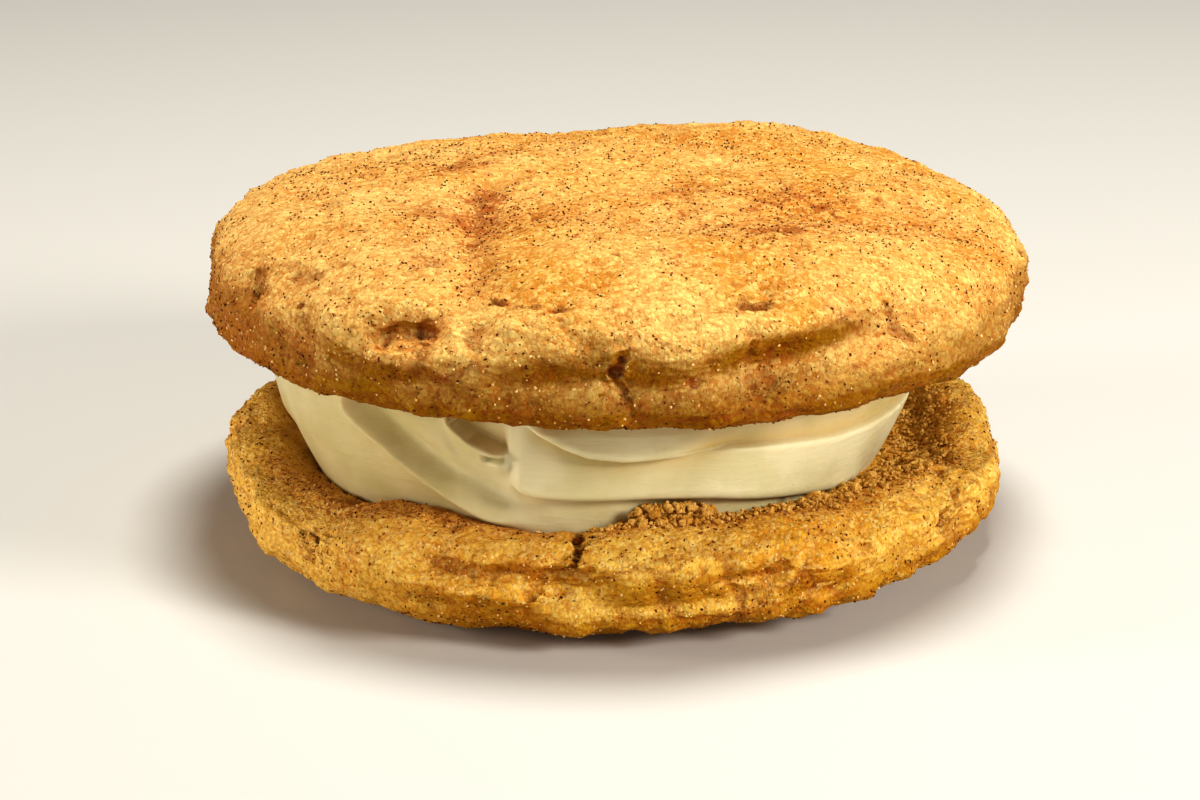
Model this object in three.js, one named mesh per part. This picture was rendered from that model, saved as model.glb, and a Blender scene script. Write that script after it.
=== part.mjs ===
// A sandwich cookie: two soft cookies rolled in cinnamon sugar, with a swirl of buttercream between them.
// The lower cookie lies on its domed side, so its baked underside faces up and the cream sits on it.
// Millimetres, +Z up. The origin is on the table, under the middle of the cookie, and -Y is its front.
// Bearings are in degrees round +Z: 0 is the right-hand side, -90 the front and 180 the left-hand side.
import * as THREE from "three";
import { ImprovedNoise } from "three/addons/math/ImprovedNoise.js";
import { mergeVertices } from "three/addons/utils/BufferGeometryUtils.js";

const { degToRad, radToDeg, lerp, smoothstep } = THREE.MathUtils;

// ---- Driving dimensions ----

// A swelling changes a radius or a thickness round one bearing: { at: degrees, spread: degrees, by: mm }.
// A groove or a lump follows a path of places on the crust: { path, width, depth } or { path, width, height }.
// Lumpiness is { size: mm from one swelling to the next, by: mm }.

const UPPER = {
  radius: 39.7, // from its middle to its edge
  level: 25.2, // of the widest place above the table
  rise: 10.4, // from that level up to the top face
  drop: 7.0, // from that level down to the underside
  roundAbove: 2.9, // power of the rounding of the top: 2 is an ellipse, and more is flatter with a tighter edge
  roundBelow: 3.4,
  edge: [
    { at: 140, spread: 35, by: 1.2 },
    { at: 15, spread: 35, by: 1.6 },
    { at: -12, spread: 5, by: -0.5 },
    { at: 95, spread: 30, by: -1.5 },
  ],
  above: [
    { at: 150, spread: 50, by: 0.8 },
    { at: 55, spread: 30, by: 2.4 },
  ],
  below: [
    { at: -170, spread: 40, by: 0.8 },
    { at: -75, spread: 45, by: 1.3 },
  ],
  lean: -0.045, // rise of the whole cookie per millimetre to the back: its front edge is the higher one
  triangles: 16, // detail of the sphere that the cookie is drawn out of
  lumpiness: [
    { size: 15, by: 0.9 },
    { size: 7, by: 0.6 },
    { size: 4, by: 0.35 },
  ],
  grooves: [
    { path: [[-12.2, -2.4, 35.9], [-12.4, -16.8, 35.8], [-12.5, -31.9, 33.8]], width: 2.6, depth: 0.9 },
    { path: [[-15.9, 6.2, 35.6]], width: 3.2, depth: 0.9 },
    { path: [[-12.8, -11.2, 35.9], [7.9, -15, 36], [22, -13.6, 35.1], [34, -7, 32.5]], width: 5, depth: 0.9 },
    { path: [[-20.1, -33.8, 29.8], [-16.9, -34.9, 30.9]], width: 1.5, depth: 1.8 },
    { path: [[11.3, -33.8, 33.3], [13.5, -33.3, 33.2]], width: 1.3, depth: 1.6 },
    { path: [[0.1, -39.5, 29.5], [0.8, -39.7, 26.6], [1.4, -39, 23.6]], width: 1.2, depth: 1.5 },
    { path: [[-33.9, -18, 30.7], [-33.9, -19.6, 29.2]], width: 1.4, depth: 1.4 },
    { path: [[-29.6, -21.4, 32.3], [-26.9, -23.3, 32.9]], width: 1.3, depth: 1.1 },
    { path: [[12.7, -37.5, 28.7], [12.8, -37.6, 26.2]], width: 1.2, depth: 0.8 },
    { path: [[27, -28.5, 30], [21.8, -32.9, 29], [17.2, -35.7, 28.1], [12.7, -37.6, 26.8]], width: 2.6, depth: 1.8 },
    { path: [[-8.4, -38.8, 26.4], [8, -38.8, 26]], width: 1.8, depth: 0.6 },
    { path: [[-28.7, -27.2, 29], [-28.8, -27.2, 24.7]], width: 1.6, depth: 0.7 },
  ],
  lumps: [
    { path: [[7.4, -38.9, 24.4], [16.4, -36, 24.4], [25.7, -30.2, 24.6], [34, -20.5, 24]], width: 2.4, height: 0.8 },
    { path: [[-5, -37, 31.5], [6, -37, 31.5]], width: 3.5, height: 0.5 },
    { path: [[-22, -31, 32]], width: 4, height: 0.6 },
  ],
};

const LOWER = {
  radius: 38.5,
  level: 6.8,
  rise: 6.0,
  drop: 8.0,
  roundAbove: 3.4,
  roundBelow: 2.6,
  edge: [
    { at: -125, spread: 40, by: 0.6 },
    { at: 15, spread: 25, by: 0.5 },
    { at: 95, spread: 30, by: -0.8 },
  ],
  above: [
    { at: -138, spread: 22, by: -1.4 },
    { at: -78, spread: 42, by: 2.2 },
    { at: 15, spread: 30, by: 0.8 },
    { at: 165, spread: 30, by: 0.5 },
  ],
  below: [{ at: -125, spread: 40, by: 0.5 }],
  lean: 0.03,
  recess: { depth: 3.6, from: 34.5, to: 28 }, // the baked underside sinks between these two radii
  triangles: 14,
  lumpiness: [
    { size: 13, by: 0.8 },
    { size: 6.5, by: 0.7 },
    { size: 4, by: 0.45 },
  ],
  grooves: [
    { path: [[-29.4, -25.6, 6.3]], width: 1.8, depth: 1.5 },
    { path: [[-27.9, -26.4, 8.3], [-25.1, -26.1, 9.8]], width: 1.3, depth: 0.9 },
    { path: [[-20.8, -33.1, 4.6], [-17.2, -34.9, 4.6]], width: 1.2, depth: 1.0 },
    { path: [[-17.3, -33.5, 8.7], [-14.1, -35.3, 8.4], [-10.9, -36.6, 8.2], [-8.6, -37.6, 7.6]], width: 1.3, depth: 1.1 },
    { path: [[-7.6, -38, 7.3], [-3.2, -38.5, 7.4]], width: 1.8, depth: 2.4 },
    { path: [[-3.1, -31.5, 11.4], [-3.2, -34.6, 10.3], [-3.6, -37.3, 8.5]], width: 1.2, depth: 1.6 },
    { path: [[-16, -35.5, 4.4], [-8, -38, 4.2]], width: 1.5, depth: 0.9 },
    { path: [[-4.1, -38.6, 5.4], [0.4, -38.8, 5.4]], width: 2.2, depth: 1.0 },
    { path: [[15.8, -34.8, 7.7], [12.6, -36.3, 7.3], [9.4, -37.4, 6.8]], width: 1.4, depth: 0.9 },
    { path: [[3.1, -38.6, 5.4], [7.6, -37.9, 5.2], [11.2, -36.9, 5.2]], width: 1.4, depth: 1.1 },
    { path: [[31, -15.8, 10.6], [32.7, -18.5, 9], [31.7, -21.8, 7]], width: 1.2, depth: 1.0 },
    { path: [[20.2, -32.8, 5.4], [18, -34.1, 4.6]], width: 1.3, depth: 1.0 },
    { path: [[0.4, -37.4, 1.2]], width: 1.6, depth: 1.0 },
    { path: [[31, -9, 10], [31.4, 0, 10], [31, 8, 10]], width: 2.4, depth: 1.8 },
  ],
  lumps: [
    { path: [[-24.4, -29.8, 8.2]], width: 4, height: 0.9 },
    { path: [[-20, -33.4, 7], [-18.6, -34.2, 6.6]], width: 1.8, height: 0.9 },
    { path: [[-6, -37.5, 9.2], [-3, -38, 8.8]], width: 1.3, height: 0.6 },
    { path: [[-17, -35, 6.3], [-8, -38, 6.2]], width: 1.8, height: 0.6 },
    { path: [[1, -36.5, 9], [7.6, -35.2, 9.2], [15.9, -33, 8.8]], width: 5, height: 0.8 },
    { path: [[20.4, -32.6, 7.6], [18.2, -34, 6.8]], width: 1.6, height: 0.6 },
    { path: [[-2.9, -36.8, 1.4]], width: 2, height: 0.8 },
    { path: [[3.8, -36.6, 1.4]], width: 2, height: 0.8 },
    { path: [[28.5, 1, 9]], width: 3, height: 1.2 },
    { path: [[5.5, -29.6, 10], [14, -26.6, 9.8], [21.5, -20.2, 9.6], [26, -13, 9.4]], width: 1.9, height: 1.7 },
  ],
};

const CREAM = {
  foot: 28, // radius where it sits on the lower cookie
  footEdge: [
    { at: -25, spread: 40, by: -3 },
    { at: -145, spread: 30, by: 2.2 },
    { at: -97, spread: 14, by: 1.2 },
  ],
  brim: 31, // radius where it meets the upper cookie
  brimEdge: [
    { at: -165, spread: 40, by: 3 },
    { at: -30, spread: 40, by: -1.5 },
  ],
  belly: 1.8, // how full its side is: 1 is a straight slant
  sectors: 90,
  crowding: 0.45, // how much closer together the sectors are at the front than on average
  rows: 15,
  // A fold starts under the upper cookie at a bearing and runs down to the right, where it levels out at a
  // share of the height. The cream on one side of it stands proud by its step: 1 is above it, -1 below it.
  // Side 0 is a plain groove.
  folds: [
    { from: -145, to: 1, fall: 1, drift: 0.03, run: 36, side: 0, step: -0.9 },
    { from: -131.5, to: 1, fall: 1, drift: 0.062, run: 18, side: -1, step: 1.1 },
    { from: -123.5, to: 0.36, fall: 8, drift: 0.003, run: 130, side: 1, step: 1.3 },
    { from: -119.5, to: 0.7, fall: 7, drift: 0.0015, run: 120, side: 1, step: 0.9 },
    { from: 5, to: 1, fall: 1, drift: 0.03, run: 36, side: 0, step: -0.9 },
    { from: 20, to: 0.4, fall: 9, drift: 0.003, run: 120, side: 1, step: 1.2 },
    { from: 45, to: 0.72, fall: 8, drift: 0.002, run: 100, side: 1, step: 0.9 },
    { from: 140, to: 0.3, fall: 12, drift: 0.003, run: 60, side: 1, step: 1.0 },
  ],
  foldReach: 0.3, // share of the height over which the proud side of a fold sinks back
  foldEdge: 0.07, // share of the height that the step itself takes
};

const GAP = 0.4; // clear space left between two pieces that touch

// ---- Helpers ----

const noise = new ImprovedNoise();
const bump = (distance, width) => Math.exp(-((distance / width) ** 2));
const turn = (a, b) => ((((a - b) % 360) + 540) % 360) - 180;

const around = (swellings, bearing) =>
  swellings.reduce((sum, s) => sum + s.by * bump(turn(bearing, s.at), s.spread), 0);

// The distance from a point to a path of one or more places.
function distanceTo(path, point) {
  const nearest = new THREE.Vector3();
  const places = path.map((p) => new THREE.Vector3(...p));
  if (places.length === 1) return point.distanceTo(places[0]);
  const stretches = places.slice(1).map((end, i) => new THREE.Line3(places[i], end));
  return Math.min(...stretches.map((s) => s.closestPointToPoint(point, true, nearest).distanceTo(point)));
}

// ---- Cookies ----

const cookieRadius = (cookie, bearing) => cookie.radius + around(cookie.edge, bearing);

// The swellings of the thickness grow from nothing at the middle of the cookie, where outShare is 0, to its edge.
const thickness = (cookie, side, bearing, outShare) =>
  (side > 0 ? cookie.rise : cookie.drop) +
  around(side > 0 ? cookie.above : cookie.below, bearing) * outShare ** 2;

// How far the upper face of a cookie has sunk at a radius.
const sunk = (cookie, reach) =>
  cookie.recess ? cookie.recess.depth * smoothstep(-reach, -cookie.recess.from, -cookie.recess.to) : 0;

// The height of a cookie's plain face over a place: side 1 is its upper face and -1 its lower one.
function faceHeight(cookie, side, x, y) {
  const bearing = radToDeg(Math.atan2(y, x));
  const reach = Math.hypot(x, y);
  const power = side > 0 ? cookie.roundAbove : cookie.roundBelow;
  const outShare = reach / cookieRadius(cookie, bearing);
  const height = side * thickness(cookie, side, bearing, outShare) * (1 - outShare ** power) ** (1 / power);
  return cookie.level + height + cookie.lean * y - (side > 0 ? sunk(cookie, reach) : 0);
}

// Where a direction from the middle of a cookie meets its plain form, and which way the crust faces there.
function plainForm(cookie, direction) {
  const side = direction.z >= 0 ? 1 : -1;
  const flat = Math.hypot(direction.x, direction.y);
  const away = flat ? { x: direction.x / flat, y: direction.y / flat } : { x: 0, y: 0 };
  const bearing = radToDeg(Math.atan2(direction.y, direction.x));
  const power = side > 0 ? cookie.roundAbove : cookie.roundBelow;
  const scale = (flat ** power + Math.abs(direction.z) ** power) ** (-1 / power);
  const outShare = flat * scale;
  const upShare = Math.abs(direction.z) * scale;
  const radius = cookieRadius(cookie, bearing);
  const tall = thickness(cookie, side, bearing, outShare);
  const reach = radius * outShare;
  const x = reach * away.x;
  const y = reach * away.y;
  const z = cookie.level + side * tall * upShare + cookie.lean * y - (side > 0 ? sunk(cookie, reach) : 0);
  const out = outShare ** (power - 1) / radius;
  const up = (side * upShare ** (power - 1)) / tall;
  const normal = new THREE.Vector3(out * away.x, out * away.y, up).normalize();
  return { point: new THREE.Vector3(x, y, z), normal, reach, bearing, side };
}

// How far the crust stands out from the plain form at a point.
function relief(cookie, point) {
  let out = 0;
  for (const { size, by } of cookie.lumpiness) {
    out += by * noise.noise(point.x / size, point.y / size, point.z / size + size);
  }
  for (const { path, width, depth } of cookie.grooves) out -= depth * bump(distanceTo(path, point), width);
  for (const { path, width, height } of cookie.lumps) out += height * bump(distanceTo(path, point), width);
  return out;
}

// The cream lies on a plain bed, and the relief of the crust starts outside it.
function bedShare(cookie, { reach, bearing, side }) {
  if (cookie === UPPER && side < 0) {
    const brim = CREAM.brim + around(CREAM.brimEdge, bearing);
    return smoothstep(reach, brim + 1.2, brim + 3.2);
  }
  if (cookie === LOWER && side > 0) {
    const foot = CREAM.foot + around(CREAM.footEdge, bearing);
    return smoothstep(reach, foot + 0.8, foot + 2.8);
  }
  return 1;
}

function cookieGeometry(cookie) {
  const sphere = new THREE.IcosahedronGeometry(1, cookie.triangles);
  sphere.deleteAttribute("normal");
  sphere.deleteAttribute("uv");
  const geometry = mergeVertices(sphere, 1e-5);
  const positions = geometry.getAttribute("position");
  const direction = new THREE.Vector3();
  for (let i = 0; i < positions.count; i++) {
    direction.fromBufferAttribute(positions, i).normalize();
    const form = plainForm(cookie, direction);
    const { point, normal } = form;
    point.addScaledVector(normal, relief(cookie, point) * bedShare(cookie, form));
    positions.setXYZ(i, point.x, point.y, Math.max(0, point.z)); // it lies flat where it meets the table
  }
  geometry.computeVertexNormals();
  return geometry;
}

// ---- Cream ----

const foot = (bearing) => CREAM.foot + around(CREAM.footEdge, bearing);
const brim = (bearing) => CREAM.brim + around(CREAM.brimEdge, bearing);

// How far the folds push the side of the cream out, at a bearing and a share of its height.
function folded(bearing, share) {
  let out = 0;
  for (const fold of CREAM.folds) {
    const along = (((bearing - fold.from) % 360) + 360) % 360;
    if (along > fold.run) continue;
    const line = fold.to + (1 - fold.to) * Math.exp(-along / fold.fall) - fold.drift * along;
    const ends = smoothstep(along, 0, 3) * (1 - smoothstep(along, fold.run * 0.8, fold.run));
    const beyond = share - line;
    if (fold.side === 0) {
      out += ends * fold.step * bump(beyond, 2 * CREAM.foldEdge);
    } else {
      const proud = smoothstep(fold.side * beyond, -CREAM.foldEdge / 2, CREAM.foldEdge / 2);
      out += ends * fold.step * proud * Math.exp(-Math.max(0, fold.side * beyond) / CREAM.foldReach);
    }
  }
  return out;
}

function creamGeometry() {
  const { sectors, crowding, rows, belly } = CREAM;
  const floor = (x, y) => faceHeight(LOWER, 1, x, y) + GAP;
  const ceiling = (x, y) => faceHeight(UPPER, -1, x, y) - GAP;
  const capShares = [0.35, 0.7]; // the rings of the hidden top and bottom, as shares of the radius
  const edgeShare = 0.15;
  const positions = [];
  const index = [];

  // One ring of places, each at a radius and a height that follow the bearing.
  const ring = (radiusAt, heightAt) => {
    for (let i = 0; i < sectors; i++) {
      const round = (2 * Math.PI * i) / sectors;
      const bearing = radToDeg(round - crowding * Math.sin(round)) - 90;
      const x = radiusAt(bearing) * Math.cos(degToRad(bearing));
      const y = radiusAt(bearing) * Math.sin(degToRad(bearing));
      positions.push(x, y, heightAt(x, y, bearing));
    }
  };
  const heightOver = (face, radiusAt, bearing) =>
    face(radiusAt(bearing) * Math.cos(degToRad(bearing)), radiusAt(bearing) * Math.sin(degToRad(bearing)));

  positions.push(0, 0, floor(0, 0));
  for (const share of capShares) ring((b) => share * foot(b), floor);
  for (let row = 0; row <= rows; row++) {
    const share = row / rows;
    // The folds have their full depth over the middle of the side, and none at its two edges.
    const open = smoothstep(share, 0, edgeShare) * (1 - smoothstep(share, 1 - edgeShare, 1));
    ring(
      (b) => lerp(foot(b), brim(b), 1 - (1 - share) ** belly) + folded(b, share) * open,
      (x, y, b) => lerp(heightOver(floor, foot, b), heightOver(ceiling, brim, b), share),
    );
  }
  for (const share of [...capShares].reverse()) ring((b) => share * brim(b), ceiling);
  positions.push(0, 0, ceiling(0, 0));

  const rings = capShares.length * 2 + rows + 1;
  const last = positions.length / 3 - 1;
  for (let i = 0; i < sectors; i++) {
    const j = (i + 1) % sectors;
    index.push(0, 1 + j, 1 + i);
    for (let r = 0; r < rings - 1; r++) {
      const below = 1 + r * sectors;
      const above = below + sectors;
      index.push(below + i, below + j, above + i, below + j, above + j, above + i); // split along the folds
    }
    index.push(last - sectors + i, last - sectors + j, last);
  }
  const geometry = new THREE.BufferGeometry();
  geometry.setAttribute("position", new THREE.Float32BufferAttribute(positions, 3));
  geometry.setIndex(index);
  geometry.computeVertexNormals();
  return geometry;
}

// ---- The sandwich ----

const crust = new THREE.MeshStandardMaterial({ color: 0xd9a04e, roughness: 0.85, metalness: 0 });
const buttercream = new THREE.MeshStandardMaterial({ color: 0xe8dcb8, roughness: 0.5, metalness: 0 });

function piece(name, geometry, material) {
  const mesh = new THREE.Mesh(geometry, material);
  mesh.name = name;
  return mesh;
}

const sandwich = new THREE.Group();
sandwich.add(piece("upper_cookie", cookieGeometry(UPPER), crust));
sandwich.add(piece("cream_filling", creamGeometry(), buttercream));
sandwich.add(piece("lower_cookie", cookieGeometry(LOWER), crust));

// The origin goes under the middle of its bounds.
const bounds = new THREE.Box3().setFromObject(sandwich);
const middle = bounds.getCenter(new THREE.Vector3());
sandwich.position.set(-middle.x, -middle.y, -bounds.min.z);

export default sandwich;
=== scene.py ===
# %% [markdown]
# # A sandwich cookie
# Two soft cookies rolled in cinnamon sugar hold a swirl of buttercream between them. The upper cookie lies dome up,
# and the lower one lies on its dome, so its baked underside faces up and cradles the cream.
#
# The three solids come from the frame, in metres. Each one is replaced here by a finer piece of the same form, and
# the sugar, the cinnamon and the crumbs that no solid carries are scattered over them as real little meshes.

# %% Load the frame
import math

import bmesh
import bpy
import numpy as np
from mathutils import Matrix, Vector
from mathutils.bvhtree import BVHTree
from mathutils.kdtree import KDTree


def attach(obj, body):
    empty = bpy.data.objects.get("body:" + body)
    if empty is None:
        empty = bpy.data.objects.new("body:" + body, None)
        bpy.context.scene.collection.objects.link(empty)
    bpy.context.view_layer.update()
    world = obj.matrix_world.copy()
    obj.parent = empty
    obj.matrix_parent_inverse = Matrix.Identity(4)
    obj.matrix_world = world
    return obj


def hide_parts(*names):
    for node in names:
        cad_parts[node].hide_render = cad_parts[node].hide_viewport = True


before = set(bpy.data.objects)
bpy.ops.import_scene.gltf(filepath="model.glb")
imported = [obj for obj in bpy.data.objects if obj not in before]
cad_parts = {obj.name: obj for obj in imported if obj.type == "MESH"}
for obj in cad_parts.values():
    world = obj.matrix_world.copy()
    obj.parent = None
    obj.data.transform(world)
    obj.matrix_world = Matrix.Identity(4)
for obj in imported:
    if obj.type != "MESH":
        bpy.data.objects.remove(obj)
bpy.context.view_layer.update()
MM = 0.001

# The upper cookie's and the cream's axis stands this far from the origin, in millimetres.
AXIS = np.array([-0.40, 0.83, 0.0])


# %% [markdown]
# ## Small helpers for meshes
# Python loops over a hundred thousand points are slow, so the points travel as numpy arrays: `foreach_get` and
# `foreach_set` copy a whole mesh at once. Places are written in millimetres, because that is how a cookie is measured.

# %% Mesh helpers
def rows_of(collection, key):
    flat = np.empty(len(collection) * 3, np.float32)
    collection.foreach_get(key, flat)
    return flat.reshape(-1, 3).astype(float)


def points_of(mesh):
    """The mesh's points in millimetres, one row each."""
    return rows_of(mesh.vertices, "co") / MM


def normals_of(mesh):
    return rows_of(mesh.vertex_normals, "vector")


def move_points(mesh, points):
    mesh.vertices.foreach_set("co", (points * MM).astype(np.float32).ravel())
    mesh.update()


def write_attribute(mesh, name, values):
    """Keeps one number for each point, for the material to read."""
    attribute = mesh.attributes.get(name) or mesh.attributes.new(name, "FLOAT", "POINT")
    attribute.data.foreach_set("value", values.astype(np.float32))


def kept_numbers(mesh, name):
    values = np.empty(len(mesh.vertices), np.float32)
    mesh.attributes[name].data.foreach_get("value", values)
    return values


def lifted_to_table(mesh):
    """Nothing pokes through the table."""
    points = points_of(mesh)
    points[:, 2] = np.maximum(points[:, 2], 0.0)
    move_points(mesh, points)


def new_piece(name, data):
    piece = bpy.data.objects.new(name, data)
    bpy.context.scene.collection.objects.link(piece)
    return piece


def applied(piece):
    """The piece with its modifiers made real, as a plain mesh."""
    shown = piece.evaluated_get(bpy.context.evaluated_depsgraph_get())
    mesh = bpy.data.meshes.new_from_object(shown)
    piece.modifiers.clear()
    piece.data = mesh
    return piece


def triangles(piece):
    return sum(len(p.vertices) - 2 for p in piece.data.polygons)


def smooth_step(value, low, high):
    share = np.clip((value - low) / (high - low), 0, 1)
    return share * share * (3 - 2 * share)


# %% [markdown]
# ## Small helpers for node trees
# Shaders and Geometry Nodes are both trees of nodes. These few functions keep a tree readable: each call adds one
# node, and an input is either a plain value or another node's output.

# %% Node helpers
def put(tree, socket, value):
    if isinstance(value, bpy.types.NodeSocket):
        tree.links.new(value, socket)
    else:
        socket.default_value = value


def add(tree, kind, inputs=None, **settings):
    node = tree.nodes.new(kind)
    for name, value in settings.items():
        setattr(node, name, value)
    for key, value in (inputs or {}).items():
        put(tree, node.inputs[key], value)
    return node


def calc(tree, operation, a, b=0.0, c=0.0):
    """One sum on one or two numbers."""
    return add(tree, "ShaderNodeMath", {0: a, 1: b, 2: c}, operation=operation).outputs[0]


def times(tree, a, b):
    return calc(tree, "MULTIPLY", a, b)


def part_of(tree, vector, number):
    """One of a vector's three numbers."""
    return add(tree, "ShaderNodeSeparateXYZ", {0: vector}).outputs[number]


def vector_calc(tree, operation, a, b):
    return add(tree, "ShaderNodeVectorMath", {0: a, 1: b}, operation=operation).outputs[0]


def scaled(tree, vector, by):
    return add(tree, "ShaderNodeVectorMath", {0: vector, "Scale": by}, operation="SCALE").outputs[0]


def ramped(tree, value, low, high, out_low=0.0, out_high=1.0):
    """Turns low..high into out_low..out_high with soft ends."""
    inputs = {"Value": value, "From Min": low, "From Max": high, "To Min": out_low, "To Max": out_high}
    return add(tree, "ShaderNodeMapRange", inputs, interpolation_type="SMOOTHSTEP").outputs["Result"]


def noise_at(tree, place, size_mm, detail=2.0, roughness=0.5):
    inputs = {"Vector": place, "Scale": 1 / (size_mm * MM), "Detail": detail, "Roughness": roughness}
    return add(tree, "ShaderNodeTexNoise", inputs, noise_dimensions="3D").outputs


def cells_at(tree, place, size_mm, feature="F1"):
    inputs = {"Vector": place, "Scale": 1 / (size_mm * MM)}
    return add(tree, "ShaderNodeTexVoronoi", inputs, voronoi_dimensions="3D", feature=feature).outputs


def shaken(tree, place, size_mm, detail, reach_mm):
    """The place, moved about by a smooth noise, so that what is laid on it has wandering borders."""
    wander = vector_calc(tree, "SUBTRACT", noise_at(tree, place, size_mm, detail)["Color"], (0.5,) * 3)
    return vector_calc(tree, "ADD", place, scaled(tree, wander, reach_mm * MM))


def of_type(sockets, kind):
    return [socket for socket in sockets if socket.type == kind]


def mixed(tree, share, a, b, blend="MIX"):
    node = add(tree, "ShaderNodeMix", {"Factor": share}, data_type="RGBA", blend_type=blend)
    for socket, value in zip(of_type(node.inputs, "RGBA"), (a, b)):
        put(tree, socket, value)
    return of_type(node.outputs, "RGBA")[0]


def colour(red, green, blue):
    """A colour as a paint program shows it, 0 to 255, turned into light."""
    return tuple(((c / 255 + 0.055) / 1.055) ** 2.4 if c > 10 else c / 255 / 12.92 for c in (red, green, blue)) + (1.0,)


# %% [markdown]
# ## The crust's colour
# Baked dough is golden where it stands proud and orange where it is hollow, which is partly painted light and painted
# shade.
# Over it lies cinnamon sugar: a red-brown dust that gathers in hollows and in broad patches, with darker grains in it;
# the hollows are also painted darker as painted shade. One Principled shader carries it all, and its colour is mixed
# from noises of different sizes, so no two places look alike. Both cookies have the same tree, with colours of their
# own.

# %% What every material needs
def attribute(tree, name):
    """A number that the mesh keeps on each point."""
    return add(tree, "ShaderNodeAttribute", attribute_name=name, attribute_type="GEOMETRY").outputs["Fac"]


def bumped(tree, height, strength, distance_mm):
    inputs = {"Height": height, "Strength": strength, "Distance": distance_mm * MM}
    return add(tree, "ShaderNodeBump", inputs).outputs[0]


def new_material(name):
    """A material, its empty tree, and the place that the tree is asked about, in metres from the origin."""
    material = bpy.data.materials.new(name)
    material.use_nodes = True
    tree = material.node_tree
    tree.nodes.clear()
    return material, tree, add(tree, "ShaderNodeTexCoord").outputs["Object"]


def shaded(material, inputs):
    """The material, closed with one Principled shader."""
    shader = add(material.node_tree, "ShaderNodeBsdfPrincipled", inputs)
    add(material.node_tree, "ShaderNodeOutputMaterial", {"Surface": shader.outputs[0]})
    return material


# %% The crust material
COARSE = 0.85  # how strongly the granules show


def crust_finish(name, deep, pale, hollow, toasted_and_shade, left, left_pale_and_lit_share):
    """Five colours of baked dough, the hollow and toasted ones also painting shade; left_pale_and_lit_share is how much
    of the left colour is seen at the left end: paler dough on the upper cookie, painted light on the lower one.
    """
    material, tree, place = new_material(name)

    def tint(share, rgb, blend="MIX"):
        nonlocal tone
        tone = mixed(tree, share, tone, colour(*rgb), blend)

    def tint_where(value, low, high, most, rgb):
        tint(ramped(tree, value, low, high, 0.0, most), rgb)

    # Dough: broad swells of browning, then paler tips and orange hollows along the relief, partly painted light and
    # painted shade.
    broad = noise_at(tree, place, 11.0, 3.0, 0.55)[0]
    crumb = noise_at(tree, place, 1.3, 3.0, 0.65)[0]
    relief = attribute(tree, "relief")
    tone = mixed(tree, ramped(tree, broad, 0.32, 0.68), colour(*deep), colour(*pale))
    leftwards = calc(tree, "DIVIDE", part_of(tree, place, 0), -MM)
    # The left end is lighter: paler dough on the upper cookie, painted light on the lower one.
    tint_where(leftwards, 4.0, 32.0, left_pale_and_lit_share, left)
    tint_where(relief, 0.0, 0.6, 0.55, (250, 212, 124))
    tint_where(relief, -0.1, -0.8, 0.7, hollow)
    tint_where(crumb, 0.54, 0.76, 0.5, (252, 218, 136))
    tint_where(crumb, 0.47, 0.26, 0.6, (190, 108, 28))

    # The whole crust is set with sugared granules, each of its own tone between orange and straw.
    granule = cells_at(tree, shaken(tree, place, 0.7, 2.0, 0.6), 0.4)
    draw = add(tree, "ShaderNodeSeparateXYZ", {0: granule["Color"]}).outputs
    tint_where(draw[0], 0.5, 1.0, 0.5 * COARSE, (253, 227, 142))
    tint_where(draw[0], 0.5, 0.0, 0.5 * COARSE, (184, 102, 26))
    tint_where(draw[1], 0.86, 0.92, 0.4, (238, 194, 116))
    # Granule borders are painted darker, as painted shade between the granules.
    tint_where(granule["Distance"], 0.45, 0.8, 0.3, (180, 94, 18))

    # Placed hollows are painted darker, as painted shade. Faces that look down, and the upper cookie's lower half, are
    # darker as toasting and painted shade. The side that lay on the tray is toasted deeper.
    tint(times(tree, attribute(tree, "hollow"), 0.4), hollow)
    tint(attribute(tree, "toasted_and_shade"), toasted_and_shade, "MULTIPLY")
    tint(times(tree, attribute(tree, "baked"), 0.75), (190, 134, 48))

    # Cinnamon dust: broad patches, the placed ones, and the hollows; cracks, pores and fissures are painted darker both
    # as cinnamon in them and as painted shade. Powder is grains, so the more of it there is,
    # the more of a fine noise rises above the threshold.
    patches = ramped(tree, noise_at(tree, place, 7.0, 3.0, 0.6)[0], 0.48, 0.72, 0.0, 0.55)
    hollows = calc(tree, "MAXIMUM", attribute(tree, "crack"), attribute(tree, "pore"))
    hollows = calc(tree, "MAXIMUM", hollows, times(tree, attribute(tree, "fissure"), 0.5))
    dusted = calc(tree, "MAXIMUM", calc(tree, "MAXIMUM", patches, attribute(tree, "dust")), hollows)
    tint(times(tree, dusted, 0.32), (206, 112, 48))
    powder = calc(tree, "ADD", noise_at(tree, place, 0.5, 3.0, 0.75)[0], times(tree, dusted, 0.22))
    tint_where(powder, 0.62, 0.74, 0.7, (150, 74, 26))
    tint(times(tree, hollows, 0.6), (112, 50, 12))

    # Powdery cinnamon too fine to strew as flakes.
    speck = cells_at(tree, place, 0.7)
    chosen = ramped(tree, part_of(tree, speck["Color"], 0), 0.4, 0.5)
    grains = times(tree, ramped(tree, speck["Distance"], 0.09, 0.19, 1.0, 0.0), chosen)
    tint(times(tree, grains, 0.8), (84, 36, 12))

    bulge = times(tree, granule["Distance"], -0.5)
    bulge = calc(tree, "ADD", bulge, times(tree, noise_at(tree, place, 0.9, 4.0, 0.7)[0], 1.6))
    bump = bumped(tree, bulge, 1.0, 0.3 * COARSE)
    rough = ramped(tree, draw[2], 0.0, 1.0, 0.5, 0.95)
    return shaded(material, {"Base Color": tone, "Roughness": rough, "Normal": bump, "Specular IOR Level": 0.08})


# The hollow and toasted colours also paint shade, and the lower crust's left colour, seen in full, paints light.
UPPER_FINISH = crust_finish("upper_crust", (205, 148, 59), (230, 189, 110), (172, 104, 22), (166, 138, 20),
                            (238, 200, 130), 0.35)
LOWER_FINISH = crust_finish("lower_crust", (230, 168, 50), (251, 208, 95), (204, 140, 30), (200, 174, 96),
                            (255, 206, 96), 1.0)
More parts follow.
